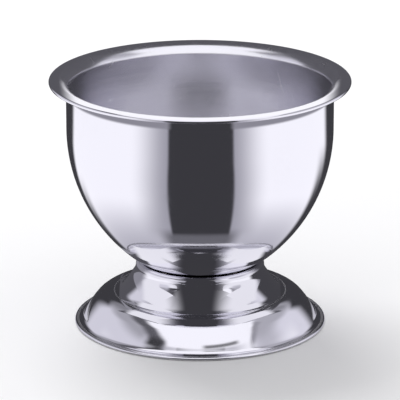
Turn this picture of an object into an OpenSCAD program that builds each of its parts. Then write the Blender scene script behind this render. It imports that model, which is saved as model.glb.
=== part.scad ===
// Egg cup of polished sheet steel: a deep-drawn bowl with a flat rim flange,
// welded to the dished top of a stamped, hollow, flared foot.
// All lengths are in millimetres. The origin is on the axis at table height, +Z is up.

/* [Overall] */
// Height from the table to the top of the rim flange
cup_h = 42; // [40:0.5:46]
// Furthest that a chord may stray from a round section
chord_gap = 0.004; // [0.002:0.001:0.02]

/* [Bowl] */
// Thickness of the bowl's sheet
bowl_t = 0.6; // [0.5:0.05:0.8]
// Diameter over the bowl's straight wall
bowl_d = 44.3; // [42:0.1:46.4]
// Straight wall, measured down from the top of the rim
band_h = 8.3; // [6:0.1:9.5]
// Section radius of the bowl's side
side_r = 27.6; // [26.4:0.2:32]
// Section radius of the bowl's rounded bottom
nose_r = 19.4; // [18:0.1:20.8]
// Diameter of the rim flange
rim_d = 50; // [48.6:0.2:54]
// Bend radius under the rim flange
rim_bend_r = 1.2; // [0.8:0.1:1.6]

/* [Foot] */
// Thickness of the foot's sheet
foot_t = 0.6; // [0.5:0.05:0.7]
// Diameter of the foot's bottom flange
foot_d = 42; // [40.5:0.1:46]
// Diameter of the neck at its narrowest place
neck_d = 21.5; // [20:0.1:22.5]
// Radius of the fold where the neck's wall turns in to the seat
fold_r = 0.74; // [0.72:0.01:1]
// Width of the flare, from the neck's wall to the top of the shoulder
flare_w = 3.5; // [3.1:0.1:3.9]
// Radius at the top of the flare
flare_top_r = 2.4; // [2:0.1:3]
// Radius where the flare runs out into the shoulder
flare_foot_r = 1.6; // [1.2:0.1:2]
// Height of the shoulder's top above the table
shoulder_h = 5.4; // [5:0.05:5.8]
// Least width of the narrow flat on the shoulder's top
shoulder_flat_w = 0.2; // [0.1:0.05:0.4]
// Radius of the dome from the shoulder's top over to the skirt
shoulder_r = 4; // [3.4:0.1:4.4]
// Slope at which the shoulder's dome meets the skirt, in degrees
skirt_slope = 51; // [45:1:54]
// Section radius of the skirt's slight bulge
skirt_r = 17; // [14:0.5:22]
// Radius of the crease between the skirt and the bottom flange
crease_r = 1; // [0.6:0.1:1.4]
// Width of the flat bottom flange, with its rounded edge
flange_w = 0.7; // [0.5:0.05:1.2]
// Diameter of the hole left in the middle of the seat
seat_hole_d = 10; // [7:0.5:11.5]

/* [Weld spots] */
// Number of weld spots between the bowl and the seat
weld_count = 4; // [3:1:6]
// Diameter of a weld spot
weld_d = 2.2; // [1.6:0.1:2.6]
// Diameter of the ring on which the weld spots lie
weld_ring_d = 15; // [14.4:0.1:15.6]
// Depth that a weld spot reaches into each sheet
weld_depth = 0.3; // [0.2:0.05:0.4]
// Clearance between the bowl and the seat
seat_gap = 0.1; // [0.05:0.01:0.2]

/* [Hidden] */
$fn = 180;

steel = [0.78, 0.78, 0.80];
weld_steel = [0.62, 0.60, 0.58];

bowl_r = bowl_d / 2;
rim_r = rim_d / 2;
foot_r = foot_d / 2;
neck_r = neck_d / 2;

// The bowl's side and bottom are two arcs with one tangent where they meet
band_z = cup_h - band_h;
side_c = [bowl_r - side_r, band_z];
nose_c = [0, band_z - sqrt(pow(side_r - nose_r, 2) - pow(side_c.x, 2))];
meet_deg = atan2(nose_c.y - side_c.y, nose_c.x - side_c.x);

// The rim's bend has one centre for both faces of the sheet
rim_c = [bowl_r + rim_bend_r, cup_h - bowl_t - rim_bend_r];
rim_edge_c = [rim_r - bowl_t / 2, cup_h - bowl_t / 2];

// The seat lies under the bowl's rounded bottom, one clearance away
seat_r = nose_r + seat_gap;
fold_c = [neck_r - fold_r, nose_c.y - sqrt(pow(seat_r + fold_r, 2) - pow(neck_r - fold_r, 2))];
fold_deg = atan2(nose_c.y - fold_c.y, -fold_c.x);
seat_hole_deg = -acos(seat_hole_d / 2 / seat_r);

// The skirt starts at the end of the shoulder's dome and comes down to the flange.
// Its lower slope follows from the height that it has to cover.
skirt_drop = shoulder_h - shoulder_r * (1 - cos(skirt_slope)) - foot_t;
crease_slope = acos((skirt_r * cos(skirt_slope) + crease_r - skirt_drop) / (skirt_r + crease_r));
crease_c = [foot_r - flange_w, foot_t + crease_r];
skirt_c = crease_c - (crease_r + skirt_r) * [sin(crease_slope), cos(crease_slope)];
shoulder_c = skirt_c + (skirt_r - shoulder_r) * [sin(skirt_slope), cos(skirt_slope)];
foot_edge_c = [foot_r - foot_t / 2, foot_t / 2];

// The flare is an arc, a straight cone and a second arc, from the neck down to the shoulder.
// It is no wider than the room between the neck and the flat on the shoulder's top.
flare_run = min(flare_w, shoulder_c.x - shoulder_flat_w - neck_r);
flare_top_c = [neck_r + flare_top_r, fold_c.y];
flare_foot_c = [neck_r + flare_run, shoulder_h + flare_foot_r];
cone = flare_foot_c - flare_top_c;
radius_step = flare_foot_r - flare_top_r;
cone_len = sqrt(cone * cone - radius_step * radius_step);
cone_slope = atan2(-cone.y, cone.x) + atan2(radius_step, cone_len);

// Chords in an arc, and the points along it from one direction to another, in degrees
function chords(r, sweep) = max(2, ceil(abs(sweep) / (2 * acos(1 - min(chord_gap / r, 1)))));
function arc(c, r, from, to) =
    let (n = chords(r, to - from))
    [for (i = [0 : n]) let (a = from + (to - from) * i / n) c + r * [cos(a), sin(a)]];

// One face of the bowl's sheet, from the axis out to the rim.
// A depth of 0 gives the outer face, and the sheet's thickness gives the inner one.
function bowl_face(depth) = concat(
    arc(nose_c, nose_r - depth, -90, meet_deg),
    arc(side_c, side_r - depth, meet_deg, 0),
    arc(rim_c, rim_bend_r + depth, 180, 90)
);

// One face of the foot's sheet, from the edge of the seat's hole out to the bottom flange
function foot_face(depth) = concat(
    arc(nose_c, seat_r + depth, seat_hole_deg, fold_deg - 180),
    arc(fold_c, fold_r - depth, fold_deg, 0),
    arc(flare_top_c, flare_top_r + depth, 180, 270 - cone_slope),
    arc(flare_foot_c, flare_foot_r + depth, 270 - cone_slope, 270),
    arc(shoulder_c, shoulder_r - depth, 90, 90 - skirt_slope),
    arc(skirt_c, skirt_r - depth, 90 - skirt_slope, 90 - crease_slope),
    arc(crease_c, crease_r + depth, 270 - crease_slope, 270)
);

function backwards(points) = [for (i = [len(points) - 1 : -1 : 0]) points[i]];

module bowl_section()
    polygon(concat(
        bowl_face(0),
        arc(rim_edge_c, bowl_t / 2, -90, 90),
        backwards(bowl_face(bowl_t))
    ));

module foot_section()
    polygon(concat(
        foot_face(0),
        arc(foot_edge_c, foot_t / 2, 90, -90),
        backwards(foot_face(foot_t))
    ));

// Nuggets standing square to the bowl's rounded bottom, half in each sheet
module weld_nuggets() {
    lean = asin(weld_ring_d / 2 / seat_r);
    nugget_h = seat_gap + 2 * weld_depth;
    for (i = [0 : weld_count - 1])
        rotate([0, 0, (i + 0.5) * 360 / weld_count])
            translate([0, 0, nose_c.y])
                rotate([0, 180 - lean, 0])
                    translate([0, 0, nose_r - weld_depth])
                        cylinder(d = weld_d, h = nugget_h);
}

module bowl()
    color(steel)
        difference() {
            rotate_extrude() bowl_section();
            weld_nuggets();
        }

module foot()
    color(steel)
        difference() {
            rotate_extrude() foot_section();
            weld_nuggets();
        }

module weld_spots()
    color(weld_steel)
        weld_nuggets();

bowl();
foot();
weld_spots();
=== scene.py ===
"""Egg cup of polished sheet steel: two stampings as fine lathed shells, their finishes, and a studio."""

import math

import bpy
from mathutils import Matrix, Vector


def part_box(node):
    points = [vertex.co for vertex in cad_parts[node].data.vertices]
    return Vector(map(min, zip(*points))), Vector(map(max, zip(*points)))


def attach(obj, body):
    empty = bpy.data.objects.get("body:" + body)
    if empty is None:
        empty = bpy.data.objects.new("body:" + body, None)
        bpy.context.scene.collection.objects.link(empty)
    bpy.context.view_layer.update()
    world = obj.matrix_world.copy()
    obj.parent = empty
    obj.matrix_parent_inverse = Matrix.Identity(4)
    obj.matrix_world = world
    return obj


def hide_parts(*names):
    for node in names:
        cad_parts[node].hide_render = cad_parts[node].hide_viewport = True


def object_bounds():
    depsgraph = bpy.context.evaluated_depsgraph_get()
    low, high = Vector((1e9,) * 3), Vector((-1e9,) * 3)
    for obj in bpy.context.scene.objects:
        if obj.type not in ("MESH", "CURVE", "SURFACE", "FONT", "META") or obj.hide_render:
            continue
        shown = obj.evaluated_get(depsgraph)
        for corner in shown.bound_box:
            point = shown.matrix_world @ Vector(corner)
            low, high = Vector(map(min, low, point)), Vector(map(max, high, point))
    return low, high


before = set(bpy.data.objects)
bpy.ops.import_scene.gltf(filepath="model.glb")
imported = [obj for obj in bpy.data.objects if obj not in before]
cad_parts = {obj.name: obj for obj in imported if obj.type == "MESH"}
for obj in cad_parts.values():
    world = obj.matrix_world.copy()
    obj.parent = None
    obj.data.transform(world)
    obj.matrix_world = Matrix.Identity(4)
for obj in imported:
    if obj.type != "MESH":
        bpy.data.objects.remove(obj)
cad_low, cad_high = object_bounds()

MM = 0.001

# Overall sizes, from the frame
CUP_H = cad_high.z
RIM_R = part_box("bowl")[1].x
FOOT_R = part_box("foot")[1].x

# Bowl
SHEET = 0.6 * MM
BOWL_R = 22.15 * MM
BAND_H = 8.3 * MM
SIDE_R = 27.6 * MM
NOSE_R = 19.4 * MM
RIM_BEND_R = 1.2 * MM

# Foot
NECK_R = 10.75 * MM
FOLD_R = 0.74 * MM
FLARE_W = 3.5 * MM
FLARE_TOP_R = 2.4 * MM
FLARE_FOOT_R = 1.6 * MM
SHOULDER_H = 5.4 * MM
SHOULDER_R = 4.0 * MM
SKIRT_SLOPE = 51.0
SKIRT_R = 17.0 * MM
CREASE_R = 1.0 * MM
FLANGE_W = 0.7 * MM
SEAT_HOLE_R = 5.0 * MM
SEAT_GAP = 0.1 * MM

# Weld spots
WELD_RING_R = 7.5 * MM
WELD_COUNT = 4
DIMPLE_R = 1.7 * MM
DIMPLE_DEPTH = 0.07 * MM

# Fineness of the lathed shells
CHORD_GAP = 0.0012 * MM
LONGEST_STEP = 0.4 * MM
ROUND_STEPS = 256
POINT_SIZE = 0.01 * MM
MERGE_GAP = 0.0005 * MM
SMOOTH_ANGLE = math.radians(40)

# A face counts as the bowl's inside or the foot's underside where its normal's height is past these
LOOKS_UP = 0.9
LOOKS_DOWN = -0.02


def polar(centre, radius, degrees):
    """The point at a distance and direction from a section's centre, as (radius, height)."""
    turn = math.radians(degrees)
    return centre + radius * Vector((math.cos(turn), math.sin(turn)))


# Centres and directions of the bowl's section
band_z = CUP_H - BAND_H
side_c = Vector((BOWL_R - SIDE_R, band_z))
nose_c = Vector((0, band_z - math.sqrt((SIDE_R - NOSE_R) ** 2 - side_c.x**2)))
meet = math.degrees(math.atan2(nose_c.y - side_c.y, nose_c.x - side_c.x))
rim_c = Vector((BOWL_R + RIM_BEND_R, CUP_H - SHEET - RIM_BEND_R))
rim_edge_c = Vector((RIM_R - SHEET / 2, CUP_H - SHEET / 2))

# Centres and directions of the foot's section
seat_r = NOSE_R + SEAT_GAP
fold_x = NECK_R - FOLD_R
fold_c = Vector((fold_x, nose_c.y - math.sqrt((seat_r + FOLD_R) ** 2 - fold_x**2)))
fold = math.degrees(math.atan2(nose_c.y - fold_c.y, -fold_c.x))
seat_hole = -math.degrees(math.acos(SEAT_HOLE_R / seat_r))
skirt_cos = math.cos(math.radians(SKIRT_SLOPE))
skirt_drop = SHOULDER_H - SHOULDER_R * (1 - skirt_cos) - SHEET
crease_cos = (SKIRT_R * skirt_cos + CREASE_R - skirt_drop) / (SKIRT_R + CREASE_R)
crease_slope = math.degrees(math.acos(crease_cos))
crease_c = Vector((FOOT_R - FLANGE_W, SHEET + CREASE_R))
skirt_c = polar(crease_c, CREASE_R + SKIRT_R, 270 - crease_slope)
shoulder_c = polar(skirt_c, SKIRT_R - SHOULDER_R, 90 - SKIRT_SLOPE)
foot_edge_c = Vector((FOOT_R - SHEET / 2, SHEET / 2))
flare_top_c = Vector((NECK_R + FLARE_TOP_R, fold_c.y))
flare_foot_c = Vector((NECK_R + FLARE_W, SHOULDER_H + FLARE_FOOT_R))
cone = flare_foot_c - flare_top_c
radius_step = FLARE_FOOT_R - FLARE_TOP_R
cone_len = math.sqrt(cone.length_squared - radius_step**2)
cone_slope = math.degrees(math.atan2(-cone.y, cone.x) + math.atan2(radius_step, cone_len))

# The outer faces as arcs in turn from the axis: centre, radius, and the directions that they run between
BOWL_ARCS = (
    (nose_c, NOSE_R, -90, meet),
    (side_c, SIDE_R, meet, 0),
    (rim_c, RIM_BEND_R, 180, 90),
)
FOOT_ARCS = (
    (nose_c, seat_r, seat_hole, fold - 180),
    (fold_c, FOLD_R, fold, 0),
    (flare_top_c, FLARE_TOP_R, 180, 270 - cone_slope),
    (flare_foot_c, FLARE_FOOT_R, 270 - cone_slope, 270),
    (shoulder_c, SHOULDER_R, 90, 90 - SKIRT_SLOPE),
    (skirt_c, SKIRT_R, 90 - SKIRT_SLOPE, 90 - crease_slope),
    (crease_c, CREASE_R, 270 - crease_slope, 270),
)


def start_section(name, point):
    """A new piece of a single point in the XZ plane, left selected in edit mode."""
    bpy.ops.object.select_all(action="DESELECT")
    bpy.ops.mesh.primitive_plane_add(size=POINT_SIZE, location=(point.x, 0, point.y))
    bpy.ops.object.transform_apply(location=True, rotation=True, scale=True)
    piece = bpy.context.active_object
    piece.name = piece.data.name = name
    bpy.ops.object.mode_set(mode="EDIT")
    bpy.ops.mesh.select_mode(type="VERT")
    bpy.ops.mesh.select_all(action="SELECT")
    bpy.ops.mesh.merge(type="CENTER")
    return piece


def draw_line(start, end):
    """Draws the section on, straight, in short steps."""
    steps = max(1, round((end - start).length / LONGEST_STEP))
    step = (end - start) / steps
    for _ in range(steps):
        bpy.ops.mesh.extrude_region_move(TRANSFORM_OT_translate={"value": (step.x, 0, step.y)})


def draw_arc(centre, radius, start, end):
    """Draws the section on, round a centre."""
    sweep = math.radians(end - start)
    step = min(2 * math.acos(1 - CHORD_GAP / radius), LONGEST_STEP / radius)
    bpy.ops.mesh.spin(
        steps=math.ceil(abs(sweep) / step),
        angle=sweep,
        center=(centre.x, 0, centre.y),
        axis=(0, 1, 0),
    )


def draw(arcs, here):
    """Draws arcs in turn from a point, with a line wherever two of them don't meet."""
    for centre, radius, start, end in arcs:
        there = polar(centre, radius, start)
        if (there - here).length > MERGE_GAP:
            draw_line(here, there)
        draw_arc(centre, radius, start, end)
        here = polar(centre, radius, end)
    return here


def stamping(name, outer, edge, sheet_side):
    """A round shell of sheet, turned from its outer face's arcs, its edge's arc, and the same arcs a
    sheet's thickness away: to the left of the way that they run where sheet_side is 1, and to the right
    where it is -1."""
    inner = [
        (centre, radius - sheet_side * math.copysign(SHEET, end - start), end, start)
        for centre, radius, start, end in reversed(outer)
    ]
    first = polar(*outer[0][:3])
    piece = start_section(name, first)
    last = draw((*outer, edge, *inner), first)
    if last.x > MERGE_GAP:
        draw_line(last, first)
    bpy.ops.mesh.select_all(action="SELECT")
    bpy.ops.mesh.spin(steps=ROUND_STEPS, angle=math.tau, center=(0, 0, 0), axis=(0, 0, 1))
    bpy.ops.mesh.select_all(action="SELECT")
    bpy.ops.mesh.remove_doubles(threshold=MERGE_GAP)
    bpy.ops.mesh.normals_make_consistent(inside=False)
    return piece


def weld_points():
    """The bowl's outer face at each weld spot, and the way towards the bowl's inside there."""
    nose = Vector((0, 0, nose_c.y))
    drop = math.sqrt(NOSE_R**2 - WELD_RING_R**2)
    for k in range(WELD_COUNT):
        turn = math.tau * (k + 0.5) / WELD_COUNT
        spot = nose + Vector((WELD_RING_R * math.cos(turn), WELD_RING_R * math.sin(turn), -drop))
        yield spot, (nose - spot).normalized()


def select_where(piece, part, test):
    """Selects the piece's vertices or faces that pass a test, in edit mode."""
    bpy.ops.mesh.select_mode(type="VERT" if part == "vertices" else "FACE")
    bpy.ops.mesh.select_all(action="DESELECT")
    bpy.ops.object.mode_set(mode="OBJECT")
    chosen = [bool(test(item)) for item in getattr(piece.data, part)]
    getattr(piece.data, part).foreach_set("select", chosen)
    bpy.ops.object.mode_set(mode="EDIT")


def press_dimples(piece, depth, side):
    """Presses the electrode's shallow marks into one face of the sheet, at the weld spots."""
    for spot, inward in weld_points():
        mark = spot + depth * inward
        nearest = min(piece.data.vertices, key=lambda v: (v.co - mark).length_squared).index
        select_where(piece, "vertices", lambda v: v.index == nearest)
        bpy.ops.transform.translate(
            value=-side * DIMPLE_DEPTH * inward,
            use_proportional_edit=True,
            use_proportional_connected=True,
            proportional_edit_falloff="SMOOTH",
            proportional_size=DIMPLE_R,
        )


def finish_shell(piece, cad_node, outside, inside, is_inside):
    """Gives the shell its two finishes and puts it in the place of its CAD node."""
    piece.data.materials.append(outside)
    piece.data.materials.append(inside)
    select_where(piece, "polygons", is_inside)
    piece.active_material_index = 1
    bpy.ops.object.material_slot_assign()
    bpy.ops.object.mode_set(mode="OBJECT")
    bpy.ops.object.shade_smooth_by_angle(angle=SMOOTH_ANGLE)
    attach(piece, "root")
    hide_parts(cad_node)


# Nodes

# How much less red than green a violet grey has, as a share of what its green lacks
RED_LACK = 0.87

# Where most of a noise texture's values lie, and their middle
NOISE_LOW = 0.3
NOISE_HIGH = 0.7
NOISE_MIDDLE = 0.5

# How far the edge of a smudge fades, and how many times finer the clouds in it are
SMUDGE_SOFT = 0.12
CLOUD_FINER = 9.0

# Scratches: the ways that they lean, the axis that they are turned about, how far the noise that draws them
# is drawn out, and a second noise, with its scale next to the first one's, and the values of it from which
# they begin to show and by which they show in full
HAIR_LEANS = (1.0, -0.7)
HAIR_AXIS = (0.3, 0.2, 1.0)
HAIR_STRETCH = (1.0, 0.025, 0.04)
HAIR_PATCH = 0.8
HAIR_SHOWS_FROM = 1.02
HAIR_SHOWS_BY = 1.12

# The tint of a weld spot's heat from its middle out to its reach, as places and colours
HEAT_STOPS = (
    (0.0, (0.62, 0.64, 0.68, 1)),
    (0.35, (0.66, 0.68, 0.82, 1)),
    (0.6, (0.95, 0.82, 0.62, 1)),
    (0.8, (1.0, 0.95, 0.86, 1)),
    (1.0, (1.0, 1.0, 1.0, 1)),
)


def add(tree, kind, inputs=None, **settings):
    """A new node, with its settings, and each named input given a value or linked from a socket."""
    node = tree.nodes.new(kind)
    for name, value in settings.items():
        setattr(node, name, value)
    for name, value in (inputs or {}).items():
        if isinstance(value, bpy.types.NodeSocket):
            tree.links.new(value, node.inputs[name])
        else:
            node.inputs[name].default_value = value
    return node


def calc(tree, operation, *values):
    """A Math node's result."""
    return add(tree, "ShaderNodeMath", dict(enumerate(values)), operation=operation).outputs[0]


def ramp(tree, value, low, high, to_low=0.0, to_high=1.0, smooth=True):
    """The value's place between low and high, eased at both ends, as a number from to_low to to_high."""
    inputs = {"Value": value, "From Min": low, "From Max": high, "To Min": to_low, "To Max": to_high}
    kind = "SMOOTHSTEP" if smooth else "LINEAR"
    return add(tree, "ShaderNodeMapRange", inputs, interpolation_type=kind).outputs["Result"]


def spread(tree, value, to_low, to_high):
    """A noise's value as a number that mostly lies from to_low to to_high."""
    return ramp(tree, value, NOISE_LOW, NOISE_HIGH, to_low, to_high, smooth=False)


def noise(tree, vector, scale, detail=2.0, roughness=0.5, w=None):
    """A noise texture's value at a point, and at a place w along a fourth axis."""
    inputs = {"Vector": vector, "Scale": scale, "Detail": detail, "Roughness": roughness}
    if w is not None:
        inputs["W"] = w
    dimensions = "3D" if w is None else "4D"
    return add(tree, "ShaderNodeTexNoise", inputs, noise_dimensions=dimensions).outputs["Fac"]


def mix_colour(tree, factor, under, over, blend="MIX"):
    """Two colours mixed by a factor."""
    node = add(tree, "ShaderNodeMix", data_type="RGBA", blend_type=blend)
    for socket, value in ((0, factor), (6, under), (7, over)):
        if isinstance(value, bpy.types.NodeSocket):
            tree.links.new(value, node.inputs[socket])
        else:
            node.inputs[socket].default_value = value
    return node.outputs[2]


def grey(level, violet=0.0):
    """A colour of a given level, a little towards violet."""
    return (level * (1 - RED_LACK * violet), level * (1 - violet), level, 1.0)


def new_group(name, inputs, outputs):
    """An empty shader group with number or colour sockets, and the nodes that stand for them."""
    group = bpy.data.node_groups.new(name, "ShaderNodeTree")
    for in_out, sockets in (("INPUT", inputs), ("OUTPUT", outputs)):
        for socket, kind, value in sockets:
            made = group.interface.new_socket(socket, in_out=in_out, socket_type=kind)
            if value is not None:
                made.default_value = value
    given = group.nodes.new("NodeGroupInput").outputs
    results = group.nodes.new("NodeGroupOutput").inputs
    return group, given, results


def use_group(tree, group, **inputs):
    """A group placed in a material with its own values."""
    values = {name.replace("_", " "): value for name, value in inputs.items()}
    return add(tree, "ShaderNodeGroup", values, node_tree=group).outputs


def object_place(tree):
    """The object's own coordinates, and the distance from the cup's axis."""
    place = add(tree, "ShaderNodeTexCoord").outputs["Object"]
    split = add(tree, "ShaderNodeSeparateXYZ", {"Vector": place}).outputs
    flat = add(tree, "ShaderNodeCombineXYZ", {"X": split["X"], "Y": split["Y"]}).outputs[0]
    radius = add(tree, "ShaderNodeVectorMath", {0: flat}, operation="LENGTH").outputs["Value"]
    return place, split, radius


FLOAT = "NodeSocketFloat"
COLOUR = "NodeSocketColor"


def polish_lines_group():
    """Fine rings left by the polishing wheel as the cup turned, which fade in and out round the axis."""
    group, given, results = new_group(
        "polish_lines",
        [("Fineness", FLOAT, 3000.0), ("Breaks", FLOAT, 60.0)],
        [("Height", FLOAT, None)],
    )
    _, split, radius = object_place(group)
    across = add(
        group,
        "ShaderNodeCombineXYZ",
        {
            "X": calc(group, "MULTIPLY", radius, given["Fineness"]),
            "Y": calc(group, "MULTIPLY", split["Z"], given["Fineness"]),
            "Z": calc(group, "MULTIPLY", split["X"], given["Breaks"]),
        },
    ).outputs[0]
    along = calc(group, "MULTIPLY", split["Y"], given["Breaks"])
    group.links.new(noise(group, across, 1.0, detail=3.0, roughness=0.6, w=along), results["Height"])
    return group


def smudges_group():
    """Soft patches where the steel was handled, with finer clouds in them."""
    group, given, results = new_group(
        "handling_smudges", [("Scale", FLOAT, 60.0), ("Cover", FLOAT, 0.5)], [("Mask", FLOAT, None)]
    )
    place, _, _ = object_place(group)
    patch = noise(group, place, given["Scale"], detail=1.0)
    edge = calc(group, "SUBTRACT", 1.0, given["Cover"])
    low = calc(group, "SUBTRACT", edge, SMUDGE_SOFT)
    high = calc(group, "ADD", edge, SMUDGE_SOFT)
    where = ramp(group, patch, low, high)
    finer = calc(group, "MULTIPLY", given["Scale"], CLOUD_FINER)
    cloud = noise(group, place, finer, detail=4.0, roughness=0.65)
    clouded = calc(group, "MULTIPLY", where, ramp(group, cloud, NOISE_LOW, NOISE_HIGH))
    group.links.new(clouded, results["Mask"])
    return group


def hairlines_group():
    """Thin scattered scratches of use, as the narrow contour lines of a stretched noise."""
    group, given, results = new_group(
        "hairlines",
        [("Scale", FLOAT, 120.0), ("Width", FLOAT, 0.006), ("Share", FLOAT, 0.5), ("Lean", FLOAT, 0.5)],
        [("Mask", FLOAT, None)],
    )
    place, _, _ = object_place(group)
    masks = []
    for lean in HAIR_LEANS:
        turn = calc(group, "MULTIPLY", given["Lean"], lean)
        turned = add(
            group,
            "ShaderNodeVectorRotate",
            {"Vector": place, "Axis": HAIR_AXIS, "Angle": turn},
        ).outputs[0]
        stretched = add(
            group,
            "ShaderNodeVectorMath",
            {0: turned, 1: HAIR_STRETCH},
            operation="MULTIPLY",
        ).outputs[0]
        value = noise(group, stretched, given["Scale"], detail=0.0)
        off = calc(group, "ABSOLUTE", calc(group, "SUBTRACT", value, NOISE_MIDDLE))
        line = ramp(group, off, 0.0, given["Width"], 1.0, 0.0)
        patch = noise(group, turned, calc(group, "MULTIPLY", given["Scale"], HAIR_PATCH), detail=1.0)
        shows_from = calc(group, "SUBTRACT", HAIR_SHOWS_FROM, given["Share"])
        shows_by = calc(group, "SUBTRACT", HAIR_SHOWS_BY, given["Share"])
        masks.append(calc(group, "MULTIPLY", line, ramp(group, patch, shows_from, shows_by)))
    group.links.new(calc(group, "MAXIMUM", *masks), results["Mask"])
    return group


def weld_heat_group():
    """The tint that the weld spots' heat leaves on the steel: blue, then a ring of straw, then none."""
    group, given, results = new_group(
        "weld_heat",
        [("Steel", COLOUR, grey(0.8)), ("Reach", FLOAT, 2.6 * MM)],
        [("Color", COLOUR, None)],
    )
    _, split, _ = object_place(group)
    on_axis = WELD_RING_R * math.sqrt(0.5)
    near = add(
        group,
        "ShaderNodeCombineXYZ",
        {
            "X": calc(group, "SUBTRACT", calc(group, "ABSOLUTE", split["X"]), on_axis),
            "Y": calc(group, "SUBTRACT", calc(group, "ABSOLUTE", split["Y"]), on_axis),
        },
    ).outputs[0]
    away = add(group, "ShaderNodeVectorMath", {0: near}, operation="LENGTH").outputs["Value"]
    share = calc(group, "DIVIDE", away, given["Reach"])
    tint = add(group, "ShaderNodeValToRGB", {"Fac": share})
    stops = tint.color_ramp.elements
    stops[0].position, stops[0].color = HEAT_STOPS[0]
    stops[1].position, stops[1].color = HEAT_STOPS[-1]
    for position, colour in HEAT_STOPS[1:-1]:
        stops.new(position).color = colour
    tinted = mix_colour(group, 1.0, given["Steel"], tint.outputs["Color"], "MULTIPLY")
    group.links.new(tinted, results["Color"])
    return group


polish_lines = polish_lines_group()
smudges = smudges_group()
hairlines = hairlines_group()
weld_heat = weld_heat_group()


# Finishes: the roughness at the low and high values of the steel's fine texture, how much smudges and
# scratches add to it, and how deep the relief is for a height of one
POLISH_ROUGH = (0.045, 0.075)
POLISH_SMUDGES = 0.05
POLISH_SCRATCHES = 0.06
POLISH_DEPTH = 0.0012 * MM
SATIN_ROUGH = (0.19, 0.26)
SATIN_SMUDGES = 0.04
SATIN_SCRATCHES = 0.08
SATIN_DEPTH = 0.003 * MM
MILL_ROUGH = (0.27, 0.38)
MILL_SMUDGES = 0.1
MILL_DEPTH = 0.004 * MM
NUGGET_ROUGH = (0.3, 0.45)
NUGGET_DEPTH = 0.01 * MM

# How far a smudge dulls the steel's colour, and how bright its own colour is next to the steel's
POLISH_DULLED = 0.3
POLISH_DULL = 0.93
MILL_DULLED = 0.5
MILL_DULL = 0.8

# A scratch's depth in the polish next to its lines, and the drawing marks' height next to the mill grain's
SCRATCH_HEIGHT = 0.5
DRAWING_HEIGHT = 1.5


def new_steel(name):
    """A metal material with its shader, ready for its colour, roughness and relief."""
    material = bpy.data.materials.new(name)
    material.use_nodes = True
    tree = material.node_tree
    shader = tree.nodes["Principled BSDF"]
    shader.inputs["Metallic"].default_value = 1.0
    return material, tree, shader


def roughen(tree, rough, *marks):
    """A roughness with marks over it, each a mask and how much it adds."""
    for mask, more in marks:
        rough = calc(tree, "ADD", rough, calc(tree, "MULTIPLY", mask, more))
    return rough


def relief(tree, shader, height, depth):
    """Feeds a height to the shader's normal, at a given depth for a height of one."""
    bump = add(tree, "ShaderNodeBump", {"Height": height, "Distance": depth, "Strength": 1.0})
    tree.links.new(bump.outputs["Normal"], shader.inputs["Normal"])


def polished_steel(name, steel, cover):
    """Mirror-polished stainless sheet, with faint turned lines and a few smudges and hairlines."""
    material, tree, shader = new_steel(name)
    lines = use_group(tree, polish_lines, Fineness=2600.0, Breaks=40.0)["Height"]
    touched = use_group(tree, smudges, Scale=70.0, Cover=cover)["Mask"]
    scratched = use_group(tree, hairlines, Scale=190.0, Width=0.0022, Share=0.46, Lean=0.6)["Mask"]
    rough = spread(tree, lines, *POLISH_ROUGH)
    rough = roughen(tree, rough, (touched, POLISH_SMUDGES), (scratched, POLISH_SCRATCHES))
    tree.links.new(rough, shader.inputs["Roughness"])
    dulled = calc(tree, "MULTIPLY", touched, POLISH_DULLED)
    colour = mix_colour(tree, dulled, steel, grey(steel[2] * POLISH_DULL, 0.04))
    tree.links.new(colour, shader.inputs["Base Color"])
    height = calc(tree, "SUBTRACT", lines, calc(tree, "MULTIPLY", scratched, SCRATCH_HEIGHT))
    relief(tree, shader, height, POLISH_DEPTH)
    return material


def satin_inside(name, steel):
    """The bowl's inside: polished on a coarser wheel, rubbed by spoons, and tinted at the weld spots."""
    material, tree, shader = new_steel(name)
    lines = use_group(tree, polish_lines, Fineness=3400.0, Breaks=90.0)["Height"]
    touched = use_group(tree, smudges, Scale=90.0, Cover=0.42)["Mask"]
    scratched = use_group(tree, hairlines, Scale=240.0, Width=0.003, Share=0.5, Lean=1.1)["Mask"]
    heat = use_group(tree, weld_heat, Steel=steel, Reach=2.8 * MM)
    rough = spread(tree, lines, *SATIN_ROUGH)
    rough = roughen(tree, rough, (touched, SATIN_SMUDGES), (scratched, SATIN_SCRATCHES))
    tree.links.new(rough, shader.inputs["Roughness"])
    tree.links.new(heat["Color"], shader.inputs["Base Color"])
    height = calc(tree, "SUBTRACT", lines, scratched)
    relief(tree, shader, height, SATIN_DEPTH)
    return material


def mill_underside(name, steel):
    """The foot's unseen side: the sheet's own dull mill surface, with drawing marks and welding heat."""
    material, tree, shader = new_steel(name)
    place, _, _ = object_place(tree)
    grain = noise(tree, place, 9000.0, detail=3.0, roughness=0.6)
    lines = use_group(tree, polish_lines, Fineness=1500.0, Breaks=160.0)["Height"]
    touched = use_group(tree, smudges, Scale=110.0, Cover=0.55)["Mask"]
    heat = use_group(tree, weld_heat, Steel=steel, Reach=3.2 * MM)
    rough = roughen(tree, spread(tree, grain, *MILL_ROUGH), (touched, MILL_SMUDGES))
    tree.links.new(rough, shader.inputs["Roughness"])
    dulled = calc(tree, "MULTIPLY", touched, MILL_DULLED)
    colour = mix_colour(tree, dulled, heat["Color"], grey(steel[2] * MILL_DULL))
    tree.links.new(colour, shader.inputs["Base Color"])
    height = calc(tree, "ADD", grain, calc(tree, "MULTIPLY", lines, DRAWING_HEIGHT))
    relief(tree, shader, height, MILL_DEPTH)
    return material


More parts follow.
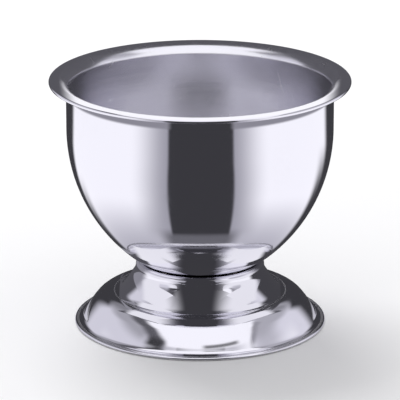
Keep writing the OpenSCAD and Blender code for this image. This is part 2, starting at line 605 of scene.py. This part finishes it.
def weld_nugget_steel(name):
    """Steel that was melted and squeezed: satin, tinted straw to blue, with a fine cast grain."""
    material, tree, shader = new_steel(name)
    place, _, _ = object_place(tree)
    grain = noise(tree, place, 5000.0, detail=4.0, roughness=0.6)
    heat = use_group(tree, weld_heat, Steel=grey(0.6), Reach=2.0 * MM)
    tree.links.new(heat["Color"], shader.inputs["Base Color"])
    tree.links.new(spread(tree, grain, *NUGGET_ROUGH), shader.inputs["Roughness"])
    relief(tree, shader, grain, NUGGET_DEPTH)
    return material


STEEL = grey(0.87, 0.05)

bowl = stamping("bowl_shell", BOWL_ARCS, (rim_edge_c, SHEET / 2, -90, 90), 1)
press_dimples(bowl, SHEET, 1)
finish_shell(
    bowl,
    "bowl",
    polished_steel("bowl_polish", STEEL, 0.42),
    satin_inside("bowl_inside", STEEL),
    lambda face: face.center.xy.length < BOWL_R + RIM_BEND_R
    and (face.center.xy.dot(face.normal.xy) < 0 or face.normal.z > LOOKS_UP),
)

foot = stamping("foot_shell", FOOT_ARCS, (foot_edge_c, SHEET / 2, 90, -90), -1)
press_dimples(foot, -SEAT_GAP - SHEET, -1)
finish_shell(
    foot,
    "foot",
    polished_steel("foot_polish", STEEL, 0.38),
    mill_underside("foot_underside", grey(0.66, 0.02)),
    lambda face: face.normal.z < LOOKS_DOWN
    or (face.center.z < fold_c.y and face.center.xy.dot(face.normal.xy) < 0),
)

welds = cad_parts["weld_spots"]
welds.data.materials.clear()
welds.data.materials.append(weld_nugget_steel("weld_steel_tinted"))


# Studio

STAGE_STEPS = 128
CAMERA_TILT = 17.44
CAMERA_AWAY = 0.615
CAMERA_LENS = 332.0
TABLE_R = 1.6
TABLE_COLOUR = grey(0.93, 0.015)
TENT_R = 0.5
WHITE = 1.14
TABLE_CLOTH_IN = FOOT_R + 0.03 * MM
TABLE_CLOTH_Z = 0.2 * MM
SURROUND = 0.7
LAMP_PLACE = (-0.16, 0.34, 0.62)
LAMP_SIZE = 0.4
LAMP_POWER = 2.6

# What the steel mirrors, as cloths hung on the light tent: azimuth from the front towards the right and
# how softly the sides fade, elevation and how softly the ends fade, how bright the cloth is and how violet.
# An arched cloth also has the azimuth of its crown, and how far it has come down at DROOP_AT from there.
# Angles are in degrees.
DROOP_AT = 10
TENT_CLOTHS = (
    ("side_left", -190, -55, 6, -10, 62, 3, 0.8, 0.1),
    ("side_right", 60, 190, 4, -10, 62, 3, 0.86, 0.1),
    ("side_right_near", 60, 90, 12, -10, 62, 5, 0.62, 0.1),
    ("high_left", -190, -62, 10, 33, 62, 6, 0.46, 0.1),
    ("high_right", 66, 190, 10, 34, 62, 6, 0.52, 0.1),
    ("high_back_left", -190, -147, 14, 29, 56, 5, 0.27, 0.1),
    ("high_back_right", 142, 190, 14, 31, 56, 5, 0.3, 0.1),
    ("crown_left", -200, -20, 2, 59, 300, 2, WHITE, 0.05, -120, 0.296),
    ("crown_right", 20, 200, 2, 60, 300, 2, WHITE, 0.05, 115, 0.703),
    ("streak_left", -172, -38, 5, 49.5, 60, 3.5, 0.14, 0.12, -120, 0.296),
    ("border_right", 56, 100, 5, 54, 60, 3, 0.38, 0.1, 115, 0.703),
    ("side_left_low", -110, -48, 8, -10, 14, 8, 1.0, 0.06),
    ("side_right_low", 48, 110, 8, -10, 20, 8, 1.0, 0.06),
    ("front_fade", -41, 41, 17, -10, 36, 2, 0.45, 0.12),
    ("front", -25, 26.5, 1.5, -10, 36, 2, 0.055, 0.12),
    ("skirt_streak", -60, -41, 5, 31, 41, 3, 0.06, 0.1),
    ("skirt_foot_line", 4, 43, 4, 37.6, 41.2, 1.2, 0.22, 0.05),
    ("back_right", 135, 190, 9, -10, 30, 4, 0.055, 0.12),
    ("back_left", -190, -143, 10, -10, 30, 4, 0.055, 0.12),
)

# The same on the table, where the bowl mirrors them, with the distance from the axis in millimetres in
# place of the elevation
TABLE_CLOTHS = (
    # near_ring and near_front are painted shade on the table close round the foot, darker in front, for the
    # bowl to mirror
    ("near_ring", -190, 190, 1, -90, 33, 19, 0.55, 0.12),
    ("front_fade", -41, 41, 17, 24, 900, 4, 0.45, 0.12),
    ("near_front", -33, 33, 9, -90, 27, 3, 0.18, 0.12),
    ("front", -25, 26.5, 1.5, 25.4, 900, 1.6, 0.055, 0.12),
    ("back_right", 128, 190, 5, -90, 900, 2, 0.055, 0.12),
    ("back_left", -190, -131, 4, -90, 900, 2, 0.055, 0.12),
    ("near_back_right", 117, 190, 7, -90, 85, 45, 0.055, 0.12),
    ("near_back_left", -190, -119, 7, -90, 50, 25, 0.055, 0.12),
)

# Small glowing cards close to the cup, which only the steel mirrors, so that they paint reflections on it,
# in
# millimetres: how far they are turned from the front and tilted up from flat, in degrees, their middle,
# their width and how softly its ends fade, their height, how bright they are and how violet. Those beside
# the foot's neck and cone paint dark reflections on its flanks. Two dark shelves paint the front cloth's
# dark stripe on down over the fold and the cone, where these face upwards, and two white ones paint a
# highlight on the cone beside it. The last two stand over the mouth and paint the rim flange's reflection,
# white and dark.
CARDS = (
    ("neck_left", -90, 90, (-13.5, 5, 11.05), 18, 1.8, 4.9, 0.33, 0.12),
    ("cone_left", -90, 90, (-13.5, 5.05, 7.05), 17.9, 1.0, 3.1, 0.11, 0.12),
    ("neck_right", 90, 90, (13.5, 5.15, 11.6), 17.7, 3.2, 3.8, 0.08, 0.12),
    ("cone_right", 90, 90, (13.5, 4.1, 7.6), 19.8, 1.0, 4.2, 0.07, 0.12),
    ("cone_shelf", 0, 9, (-0.4, -13.75, 9.2), 11.2, 2.8, 5.2, 0.055, 0.12),
    ("fold_shelf", 0, 0, (-0.6, -11.2, 11.15), 7.4, 1.6, 1.6, 0.055, 0.12),
    ("white_shelf_left", -50, 0, (-9.9, -10.2, 9.5), 10.8, 1.5, 4.4, 0.98, 0.06),
    ("white_shelf_right", 50, 0, (9.9, -10.2, 9.5), 10.8, 1.5, 4.4, 0.98, 0.06),
    ("mouth_card", 0, 90, (0, 0, 57), 43.4, 1.7, 29.8, WHITE, 0.03),
    ("behind_mouth", 0, 90, (0, 27, 61), 90, 1.0, 37.8, 0.12, 0.12),
)

# A thin ring close under the rim flange, seen only in the steel's mirror, which paints a shade line on the
# wall there
SHADE_R = 22.5 * MM
SHADE_LOW = 39.5 * MM
SHADE_HIGH = 40.9 * MM
SHADE_SOFT = 0.25 * MM
SHADE_GREY = grey(0.34, 0.12)

# Its darker front: where it begins and ends and how softly, in degrees
SHADE_FRONT = (-13, 13.8, 1.5)
SHADE_FRONT_GREY = grey(0.055, 0.12)


def aim(thing, target):
    """Turns a lamp or the camera at a point."""
    thing.rotation_euler = (Vector(target) - thing.location).to_track_quat("-Z", "Y").to_euler()


def set_camera():
    """The camera, level and a little above the cup."""
    tilt = math.radians(CAMERA_TILT)
    target = Vector((0, 0, CUP_H / 2))
    away = CAMERA_AWAY * Vector((0, -math.cos(tilt), math.sin(tilt)))
    bpy.ops.object.camera_add(location=target + away)
    camera = bpy.context.active_object
    camera.data.lens = CAMERA_LENS
    camera.data.clip_end = 10
    aim(camera, target)
    bpy.context.scene.camera = camera


def set_lamp(name, place, target, size, power):
    """A square soft lamp, which the polished steel doesn't mirror."""
    bpy.ops.object.light_add(type="AREA", location=place)
    lamp = bpy.context.active_object
    lamp.name = name
    lamp.data.shape = "SQUARE"
    lamp.data.size = size
    lamp.data.energy = power
    lamp.visible_glossy = False
    aim(lamp, target)


def set_world(strength):
    """An even white surround."""
    world = bpy.data.worlds.new("white_surround")
    world.use_nodes = True
    background = world.node_tree.nodes["Background"]
    seen = add(world.node_tree, "ShaderNodeLightPath").outputs["Is Camera Ray"]
    background.inputs["Color"].default_value = (1, 1, 1, 1)
    light = ramp(world.node_tree, seen, 0, 1, strength, 1.0, smooth=False)
    world.node_tree.links.new(light, background.inputs["Strength"])
    bpy.context.scene.world = world


def only_mirrored(thing):
    """Leaves a reflector for the polished steel alone to see."""
    thing.visible_camera = False
    thing.visible_diffuse = False
    thing.visible_transmission = False
    thing.visible_volume_scatter = False
    thing.visible_shadow = False


def emitter(name):
    """A material that only glows, and doesn't act as a lamp."""
    material = bpy.data.materials.new(name)
    material.use_nodes = True
    material.cycles.emission_sampling = "NONE"
    tree = material.node_tree
    tree.nodes.remove(tree.nodes["Principled BSDF"])
    return material, tree, tree.nodes["Material Output"]


def azimuth_and_elevation(tree):
    """The direction from the cup, in degrees: from the front towards the right, and up from the table."""
    _, split, radius = object_place(tree)
    turn = calc(tree, "ARCTAN2", split["X"], calc(tree, "MULTIPLY", split["Y"], -1.0))
    rise = calc(tree, "ARCTAN2", split["Z"], radius)
    return calc(tree, "DEGREES", turn), calc(tree, "DEGREES", rise)


def between(tree, value, low, high, fade):
    """One between two limits and none beyond them, with soft ends."""
    up = ramp(tree, value, low - fade, low + fade)
    down = ramp(tree, value, high - fade, high + fade, 1.0, 0.0)
    return calc(tree, "MULTIPLY", up, down)


def hang_cloths(tree, output, cloths, azimuth, across):
    """White, with each cloth over those before it."""
    colour = grey(WHITE, 0.05)
    for _, left, right, side_fade, low, high, end_fade, level, violet, *arch in cloths:
        height = across
        if arch:
            crown, droop = arch
            away = calc(tree, "SUBTRACT", azimuth, crown)
            fall = calc(tree, "MULTIPLY", calc(tree, "MULTIPLY", away, away), droop / DROOP_AT**2)
            height = calc(tree, "ADD", across, fall)
        sides = between(tree, azimuth, left, right, side_fade)
        ends = between(tree, height, low, high, end_fade)
        colour = mix_colour(tree, calc(tree, "MULTIPLY", sides, ends), colour, grey(level, violet))
    glow = add(tree, "ShaderNodeEmission", {"Color": colour}).outputs[0]
    tree.links.new(glow, output.inputs["Surface"])


def light_tent():
    """A round white tent with a few cloths hung on it, for the steel to mirror."""
    material, tree, output = emitter("tent_cloth")
    hang_cloths(tree, output, TENT_CLOTHS, *azimuth_and_elevation(tree))
    bpy.ops.mesh.primitive_uv_sphere_add(segments=96, ring_count=48, radius=TENT_R)
    tent = bpy.context.active_object
    tent.name = "light_tent"
    bpy.ops.object.shade_smooth()
    tent.data.materials.append(material)
    only_mirrored(tent)


def table_cloths():
    """White and dark cloths that lie on the table round the cup, for the bowl's underside to mirror."""
    material, tree, output = emitter("table_cloth")
    azimuth, _ = azimuth_and_elevation(tree)
    _, _, radius = object_place(tree)
    hang_cloths(tree, output, TABLE_CLOTHS, azimuth, calc(tree, "DIVIDE", radius, MM))
    bpy.ops.mesh.primitive_circle_add(
        vertices=STAGE_STEPS, radius=TABLE_CLOTH_IN, fill_type="NOTHING", location=(0, 0, TABLE_CLOTH_Z)
    )
    cloths = bpy.context.active_object
    cloths.name = "table_cloths"
    bpy.ops.object.transform_apply(location=True, rotation=True, scale=True)
    bpy.ops.object.mode_set(mode="EDIT")
    bpy.ops.mesh.select_all(action="SELECT")
    bpy.ops.mesh.extrude_edges_move()
    widen = TENT_R / TABLE_CLOTH_IN
    bpy.ops.transform.resize(value=(widen, widen, 1))
    bpy.ops.object.mode_set(mode="OBJECT")
    cloths.data.materials.append(material)
    only_mirrored(cloths)


def glow_where(tree, output, cover, colour):
    """A glow where the cover is one, and nothing where it is zero."""
    glow = add(tree, "ShaderNodeEmission", {"Color": colour}).outputs[0]
    clear = add(tree, "ShaderNodeBsdfTransparent").outputs[0]
    mixed = add(tree, "ShaderNodeMixShader", {0: cover, 1: clear, 2: glow}).outputs[0]
    tree.links.new(mixed, output.inputs["Surface"])


def stand_card(name, turn, tilt, middle, width, soft, height, level, violet):
    """A small card with soft ends, turned and tilted where it stands."""
    material, tree, output = emitter(name)
    turn = math.radians(turn)
    across = Vector((math.cos(turn), math.sin(turn), 0))
    place, _, _ = object_place(tree)
    along = add(tree, "ShaderNodeVectorMath", {0: place, 1: across}, operation="DOT_PRODUCT")
    off = calc(tree, "SUBTRACT", along.outputs["Value"], across.dot(middle) * MM)
    off = calc(tree, "ABSOLUTE", off)
    cover = ramp(tree, off, (width / 2 - soft) * MM, (width / 2 + soft) * MM, 1.0, 0.0)
    glow_where(tree, output, cover, grey(level, violet))
    bpy.ops.mesh.primitive_plane_add(
        size=1,
        location=Vector(middle) * MM,
        rotation=(math.radians(tilt), 0, turn),
    )
    card = bpy.context.active_object
    card.name = name
    card.scale = ((width + 2 * soft) * MM, height * MM, 1)
    bpy.ops.object.transform_apply(location=True, rotation=True, scale=True)
    card.data.materials.append(material)
    only_mirrored(card)


def rim_shade():
    """A grey ring, darker in front, with a soft lower edge, which the wall mirrors as a painted shade line
    under the rim.
    """
    material, tree, output = emitter("rim_shade")
    azimuth, _ = azimuth_and_elevation(tree)
    _, split, _ = object_place(tree)
    cover = ramp(tree, split["Z"], SHADE_LOW - SHADE_SOFT, SHADE_LOW + SHADE_SOFT)
    front = between(tree, azimuth, *SHADE_FRONT)
    glow_where(tree, output, cover, mix_colour(tree, front, SHADE_GREY, SHADE_FRONT_GREY))
    bpy.ops.mesh.primitive_cylinder_add(
        vertices=STAGE_STEPS,
        radius=SHADE_R,
        depth=SHADE_HIGH - SHADE_LOW + SHADE_SOFT,
        end_fill_type="NOTHING",
        location=(0, 0, (SHADE_HIGH + SHADE_LOW - SHADE_SOFT) / 2),
    )
    ring = bpy.context.active_object
    ring.name = "rim_shade"
    bpy.ops.object.transform_apply(location=True, rotation=True, scale=True)
    ring.data.materials.append(material)
    only_mirrored(ring)


def table_top():
    """The plain pale table."""
    material = bpy.data.materials.new("table_white")
    material.use_nodes = True
    shader = material.node_tree.nodes["Principled BSDF"]
    shader.inputs["Base Color"].default_value = TABLE_COLOUR
    shader.inputs["Roughness"].default_value = 0.9
    shader.inputs["Specular IOR Level"].default_value = 0.1
    bpy.ops.mesh.primitive_circle_add(vertices=STAGE_STEPS, radius=TABLE_R, fill_type="NGON")
    table = bpy.context.active_object
    table.name = "table"
    table.data.materials.append(material)


set_camera()
set_world(SURROUND)
set_lamp("window_soft", LAMP_PLACE, (0, 0, 0), LAMP_SIZE, LAMP_POWER)
table_top()
table_cloths()
light_tent()
for card in CARDS:
    stand_card(*card)
rim_shade()
bpy.context.scene.view_settings.view_transform = "Standard"
